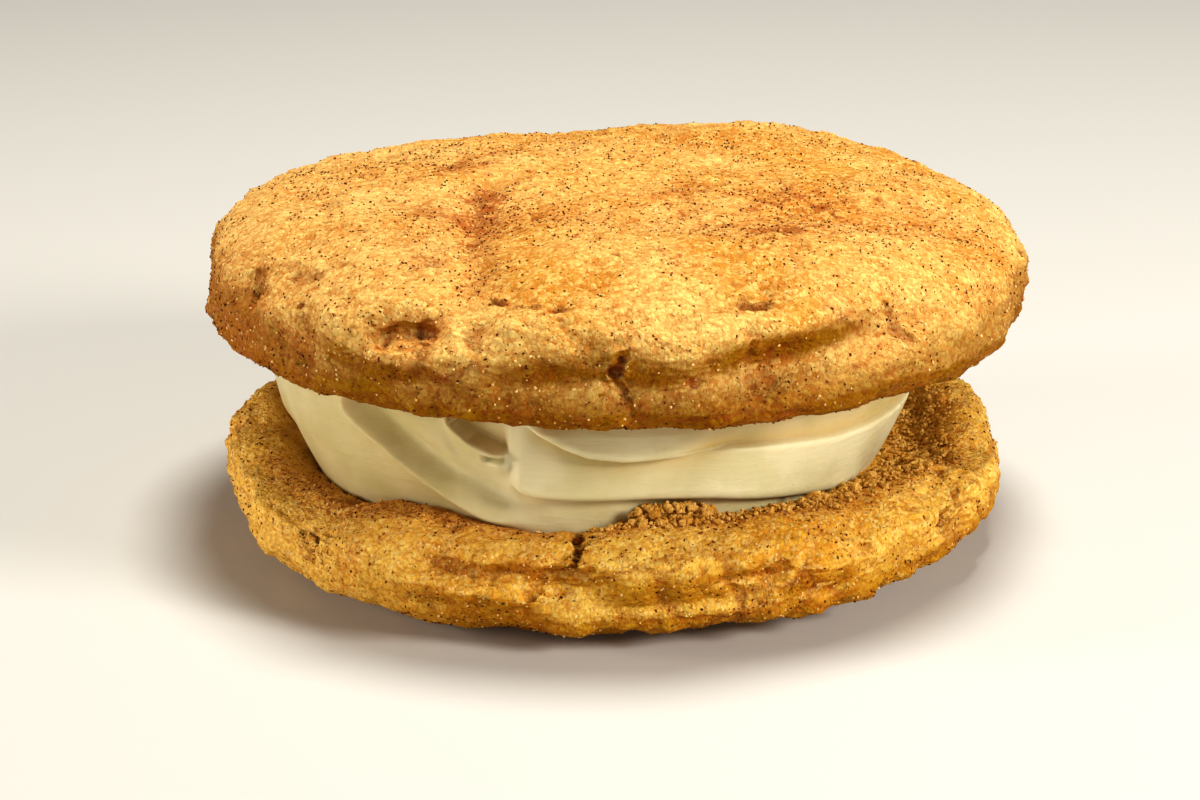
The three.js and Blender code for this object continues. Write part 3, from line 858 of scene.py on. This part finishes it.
# %% The buttercream material
def buttercream_finish():
    material, tree, place = new_material("buttercream")
    cloudy = noise_at(tree, place, 6.0, 3.0, 0.5)[0]
    tone = mixed(tree, ramped(tree, cloudy, 0.35, 0.65), colour(203, 194, 149), colour(217, 208, 169))
    # The left end is painted a little darker, as painted shade.
    leftwards = calc(tree, "DIVIDE", part_of(tree, place, 0), -MM)
    tone = mixed(tree, ramped(tree, leftwards, 6.0, 20.0), tone, colour(238, 230, 210), "MULTIPLY")
    # Bubble pits are painted darker, as painted shade.
    bubble = cells_at(tree, place, 1.5)
    chosen = ramped(tree, part_of(tree, bubble["Color"], 0), 0.80, 0.85)
    pit = times(tree, ramped(tree, bubble["Distance"], 0.05, 0.13, 1.0, 0.0), chosen)
    tone = mixed(tree, times(tree, pit, 0.35), tone, colour(196, 172, 120))
    # The nick is painted dark olive, as painted shade.
    tone = mixed(tree, times(tree, attribute(tree, "nick"), 0.6), tone, colour(150, 140, 56))
    # Under the folds the cream is painted warmer and darker: painted shade, and painted reflection of the crust.
    tone = mixed(tree, times(tree, attribute(tree, "tucked"), 0.75), tone, colour(232, 196, 122), "MULTIPLY")
    drag = add(tree, "ShaderNodeMapping", {"Vector": place, "Scale": (1.0, 1.0, 5.0)}).outputs[0]
    grain = noise_at(tree, drag, 2.4, 4.0, 0.6)[0]
    bumps = calc(tree, "SUBTRACT", grain, times(tree, pit, 0.8))
    bump = bumped(tree, bumps, 0.35, 0.25)
    return shaded(material, {
        "Base Color": tone, "Roughness": ramped(tree, grain, 0.3, 0.7, 0.36, 0.5), "Normal": bump,
        "Subsurface Weight": 0.35, "Subsurface Radius": (1.0, 0.7, 0.4), "Subsurface Scale": 1.2 * MM,
        "Specular IOR Level": 0.4})


cream_swirl.data.materials.append(buttercream_finish())


# %% [markdown]
# ## Sugar, cinnamon and crumbs
# What is rolled on is loose stuff: sugar crystals about a fifth of a millimetre wide and flakes of cinnamon. Crumbs
# have broken from the baked side. They are all scattered by one kind of Geometry Nodes tree: it drops points on the
# crust, more where a number kept on the crust says so, puts a small turned copy of a grain at each, and makes the
# copies real. A grain has only a few faces, because there are thousands of them.

# %% Finishes of the grains
def grain_finish(name, dark, light, size_mm, roughness, specular):
    material, tree, place = new_material(name)
    share = ramped(tree, noise_at(tree, place, size_mm, 1.0)[0], 0.35, 0.65)
    return shaded(material, {"Base Color": mixed(tree, share, colour(*dark), colour(*light)), "Roughness": roughness,
                             "Specular IOR Level": specular})


SUGAR = grain_finish("sugar_crystal", (206, 150, 68), (238, 202, 130), 1.0, 0.5, 0.2)
CINNAMON = grain_finish("cinnamon_flake", (60, 27, 10), (124, 60, 22), 0.8, 0.85, 0.1)


# %% The tree that scatters grains
def scatter_tree(name, grain, material):
    tree, given = shape_tree(name, "Per Square Metre", "Smallest", "Largest", "Lift", "Seed")
    seed = given["Seed"]

    share = add(tree, "GeometryNodeInputNamedAttribute", {"Name": "strewn"}, data_type="FLOAT").outputs[0]
    density = times(tree, share, given["Per Square Metre"])
    spots = add(tree, "GeometryNodeDistributePointsOnFaces",
                {"Mesh": given["Geometry"], "Density": density, "Seed": seed}, distribute_method="RANDOM").outputs
    lifted = add(tree, "GeometryNodeSetPosition",
                 {"Geometry": spots["Points"], "Offset": scaled(tree, spots["Normal"], given["Lift"])}).outputs[0]
    turned = add(tree, "FunctionNodeRandomValue", {0: (0.0,) * 3, 1: (2 * math.pi,) * 3, "Seed": seed},
                 data_type="FLOAT_VECTOR").outputs[0]
    size = add(tree, "FunctionNodeRandomValue", {"Seed": seed}, data_type="FLOAT")
    for socket, value in zip(of_type(size.inputs, "VALUE"), (given["Smallest"], given["Largest"])):
        put(tree, socket, value)
    source = add(tree, "GeometryNodeObjectInfo", {"Object": grain}, transform_space="ORIGINAL").outputs["Geometry"]
    placed = add(tree, "GeometryNodeInstanceOnPoints",
                 {"Points": lifted, "Instance": source, "Rotation": turned,
                  "Scale": of_type(size.outputs, "VALUE")[0]}).outputs[0]
    return dressed(tree, placed, material)


def grain_shape(name, points, faces):
    """A grain of about unit size, kept out of the scene itself."""
    mesh = bpy.data.meshes.new(name)
    mesh.from_pydata(points, [], faces)
    mesh.validate()
    return bpy.data.objects.new(name, mesh)


def box_grain(name, stretch, seed):
    """A slightly crooked box: six faces, so twelve triangles."""
    draw = np.random.default_rng(seed)
    corners = np.array([(x, y, z) for z in (-0.5, 0.5) for y in (-0.5, 0.5) for x in (-0.5, 0.5)])
    corners = corners * stretch * draw.uniform(0.78, 1.0, corners.shape)
    faces = [(0, 2, 3, 1), (4, 5, 7, 6), (0, 1, 5, 4), (2, 6, 7, 3), (0, 4, 6, 2), (1, 3, 7, 5)]
    return grain_shape(name, corners.tolist(), faces)


SUGAR_TREE = scatter_tree("strew_sugar", box_grain("sugar_grain", (1.0, 0.9, 0.75), 3), SUGAR)
CINNAMON_TREE = scatter_tree("strew_cinnamon", box_grain("cinnamon_grain", (1.0, 0.7, 0.35), 5), CINNAMON)


def strewn(skin, name, tree, share, per_mm2, sizes_mm, seed, lift_mm=0.0):
    """Grains over a crust, as a piece of their own."""
    write_attribute(skin.data, "strewn", share)
    piece = new_piece(name, skin.data.copy())
    run_tree(piece, tree, {"Per Square Metre": per_mm2 / MM**2, "Smallest": sizes_mm[0] * MM,
                           "Largest": sizes_mm[1] * MM, "Lift": lift_mm * MM, "Seed": seed})
    piece.data.name = name
    lifted_to_table(piece.data)
    print(name, triangles(piece), "triangles")
    return piece


def sugar_share(skin, left_heavy, melted):
    """Sugar clings to the rolled sides more than to the top, and in drifts. Where the crust is toasted, a share of
    it has melted."""
    points, normals = points_of(skin.data), normals_of(skin.data)
    sides = 1 - 0.55 * smooth_step(np.abs(normals[:, 2]), 0.3, 0.9)
    drifts = 0.65 + 0.5 * ragged(points, 9.0, 31)
    left = 1 + left_heavy * smooth_step(-points[:, 0], 5, 34)
    baked, toasted_and_shade = (kept_numbers(skin.data, name) for name in ("baked", "toasted_and_shade"))
    return np.clip(sides * drifts * left * (1 - 0.8 * baked) * (1 - melted * toasted_and_shade), 0.05, None)


def cinnamon_share(skin):
    points = points_of(skin.data)
    dust = kept_numbers(skin.data, "dust")
    return np.clip(0.55 + 0.45 * ragged(points, 12.0, 47) + 0.9 * dust, 0.08, None)


SUGAR_SIZES, CINNAMON_SIZES = (0.13, 0.28), (0.12, 0.32)  # mm
strewn_pieces = [
    strewn(upper_crust, "upper_sugar", SUGAR_TREE, sugar_share(upper_crust, 0.7, 0.85), 1.2, SUGAR_SIZES, 101),
    strewn(lower_crust, "lower_sugar", SUGAR_TREE, sugar_share(lower_crust, 0.3, 0.5), 1.2, SUGAR_SIZES, 102),
    strewn(upper_crust, "upper_cinnamon", CINNAMON_TREE, cinnamon_share(upper_crust), 0.95, CINNAMON_SIZES, 103),
    strewn(lower_crust, "lower_cinnamon", CINNAMON_TREE, cinnamon_share(lower_crust), 0.9, CINNAMON_SIZES, 104),
]


# %% [markdown]
# ## Crumbs beside the cream
# Where the cream was pressed on, the lower cookie's baked side broke up, and a ledge of crumbs a millimetre wide lies
# along its foot on the right, heaped in front. A crumb is a ball of about two dozen faces pushed about by a few
# waves, and there are two kinds of ball. Four lots are strewn, so that small crumbs fill in between the big ones.

# %% The crumbs
CRUMB_LEDGE = [(0.5, -31.4, 11.0), (4.5, -30.8, 11.2), (8.0, -30.6, 11.0), (14.8, -28.3, 10.2), (22.4, -21.6, 9.8),
               (27.0, -13.6, 9.6), (30.0, -5.0, 9.6)]
CRUMB_HEAP = [(3.4, -31.0, 11.2), (7.2, -29.9, 11.0)]


def crumb_finish():
    material, tree, place = new_material("cookie_crumb")
    share = noise_at(tree, place, 1.2, 3.0, 0.65)[0]
    tone = mixed(tree, ramped(tree, share, 0.38, 0.62), colour(200, 140, 48), colour(238, 190, 100))
    grain = noise_at(tree, place, 0.35, 3.0, 0.7)[0]
    for low, high, rgb in ((0.55, 0.7, (248, 208, 128)), (0.42, 0.3, (136, 78, 22))):
        tone = mixed(tree, ramped(tree, grain, low, high, 0.0, 0.5), tone, colour(*rgb))
    bump = bumped(tree, grain, 1.0, 0.35)
    return shaded(material, {"Base Color": tone, "Normal": bump, "Roughness": 0.85, "Specular IOR Level": 0.1})


def crumb_grain(name, round_ball):
    """A ball pushed about by a few waves: an icosphere of 20 triangles, or a cube whose faces are split in four."""
    ball = bmesh.new()
    if round_ball:
        bmesh.ops.create_cube(ball, size=1.0)
        bmesh.ops.subdivide_edges(ball, edges=ball.edges[:], cuts=1, use_grid_fill=True)
    else:
        bmesh.ops.create_icosphere(ball, subdivisions=1, radius=0.5)
    ball.verts.index_update()
    ball_points = np.array([v.co[:] for v in ball.verts])
    faces = [[v.index for v in f.verts] for f in ball.faces]
    ball.free()
    ball_points *= 0.5 / np.linalg.norm(ball_points, axis=1)[:, None]
    pushed = ball_points * (1 + 0.4 * ragged(ball_points, 0.7, 71))[:, None] * (1.0, 0.85, 0.75)
    return grain_shape(name, pushed.tolist(), faces)


CRUMB = crumb_finish()
ROUND_TREE = scatter_tree("strew_round_crumbs", crumb_grain("round_crumb", True), CRUMB)
ROUGH_TREE = scatter_tree("strew_rough_crumbs", crumb_grain("rough_crumb", False), CRUMB)
bed_points = points_of(lower_crust.data)
bed_surface = tree_of(bed_points)


def share_beside(path, reach):
    return np.exp(-((distance_to_path(bed_points, laid_on(bed_surface, path)) / reach) ** 2))


ledge, heap = share_beside(CRUMB_LEDGE, 1.7), share_beside(CRUMB_HEAP, 1.5)
bed = kept_numbers(lower_crust.data, "baked") * smooth_step(bed_points[:, 0], 25, 29)
# Each lot has its tree, where it lies, how many to the square millimetre, their sizes, its seed and its lift.
for name, *lot in (("big_crumbs", ROUND_TREE, 0.3 * ledge + 1.8 * heap, 0.7, (0.8, 1.7), 201, 0.2),
                   ("middling_crumbs", ROUND_TREE, ledge + heap + 0.3 * bed, 2.6, (0.35, 0.85), 202, 0.2),
                   ("heaped_crumbs", ROUND_TREE, heap, 3.4, (0.5, 1.1), 204, 0.9),
                   ("fine_crumbs", ROUGH_TREE, ledge + heap + 0.5 * bed, 8.0, (0.2, 0.5), 203, 0.2)):
    strewn_pieces.append(strewn(lower_crust, name, *lot))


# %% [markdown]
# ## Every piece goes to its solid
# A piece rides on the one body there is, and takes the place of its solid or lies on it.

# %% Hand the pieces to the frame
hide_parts("upper_cookie")
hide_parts("lower_cookie")
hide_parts("cream_filling")
for piece in (upper_crust, lower_crust, cream_swirl, *strewn_pieces):
    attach(piece, "root")


# %% [markdown]
# ## The table, the light and the camera
# A plain pale floor and soft studio light keep the eye on the food. The key light is large and stands high on the
# right, as the photo's seems to, so the left end and the undersides fall into warm shade. A light above and two weak
# ones, from the left and from low in front, keep that shade open. The camera looks slightly down through a long lens.

# %% Floor and light
def floor_finish():
    material = bpy.data.materials.new("pale_floor")
    material.use_nodes = True
    shader = material.node_tree.nodes["Principled BSDF"]
    shader.inputs["Base Color"].default_value = colour(206, 204, 200)
    shader.inputs["Roughness"].default_value = 0.8
    return material


HALF_FLOOR = 3.0  # m
floor_mesh = bpy.data.meshes.new("floor")
floor_mesh.from_pydata([(x * HALF_FLOOR, y * HALF_FLOOR, 0) for x, y in ((-1, -1), (1, -1), (1, 1), (-1, 1))], [],
                       [(0, 1, 2, 3)])
floor_mesh.materials.append(floor_finish())
floor = new_piece("floor", floor_mesh)

world = bpy.data.worlds.new("studio")
world.use_nodes = True
background = world.node_tree.nodes["Background"]
background.inputs["Color"].default_value = (1.0, 0.97, 0.93, 1.0)
background.inputs["Strength"].default_value = 0.06
bpy.context.scene.world = world

COOKIE_MIDDLE = Vector((0, 0, 18))  # mm


def turned_to(way):
    return way.to_track_quat("-Z", "Y").to_euler()


def soft_light(name, place_mm, size_mm, watts, tint):
    light = bpy.data.lights.new(name, "AREA")
    light.shape = "DISK"
    light.size = size_mm * MM
    light.energy = watts
    light.color = tint
    lamp = new_piece(name, light)
    lamp.location = Vector(place_mm) * MM
    lamp.rotation_euler = turned_to(COOKIE_MIDDLE - Vector(place_mm))


soft_light("key_light", (450, -260, 250), 160, 2.7, (1.0, 0.96, 0.89))
soft_light("top_light", (40, 40, 480), 170, 2.1, (1.0, 0.97, 0.89))
soft_light("left_light", (-475, -60, 110), 160, 1.25, (1.0, 0.93, 0.82))
soft_light("low_fill", (-100, -490, 62), 200, 0.4, (1.0, 0.95, 0.86))

# %% Camera
CAMERA_HEIGHT = 17.5  # degrees above the horizon
CAMERA_AWAY = 346.0  # mm from the place that it circles
STACK_MIDDLE = Vector((0, 0, 22.0))  # mm: that place
AIM = Vector((-1.7, -2.7, 13.4))  # mm: what lies in the middle of the picture

camera_data = bpy.data.cameras.new("camera")
camera_data.sensor_width = 36.0
camera_data.lens = 105.0
camera_data.clip_start = 0.01
camera = new_piece("camera", camera_data)
lift = math.radians(CAMERA_HEIGHT)
away = Vector((0, -math.cos(lift), math.sin(lift))) * CAMERA_AWAY
camera.location = (STACK_MIDDLE + away) * MM
camera.rotation_euler = turned_to(AIM - STACK_MIDDLE - away)
bpy.context.scene.camera = camera
bpy.context.scene.view_settings.view_transform = "Standard"
bpy.context.scene.view_settings.look = "Medium High Contrast"
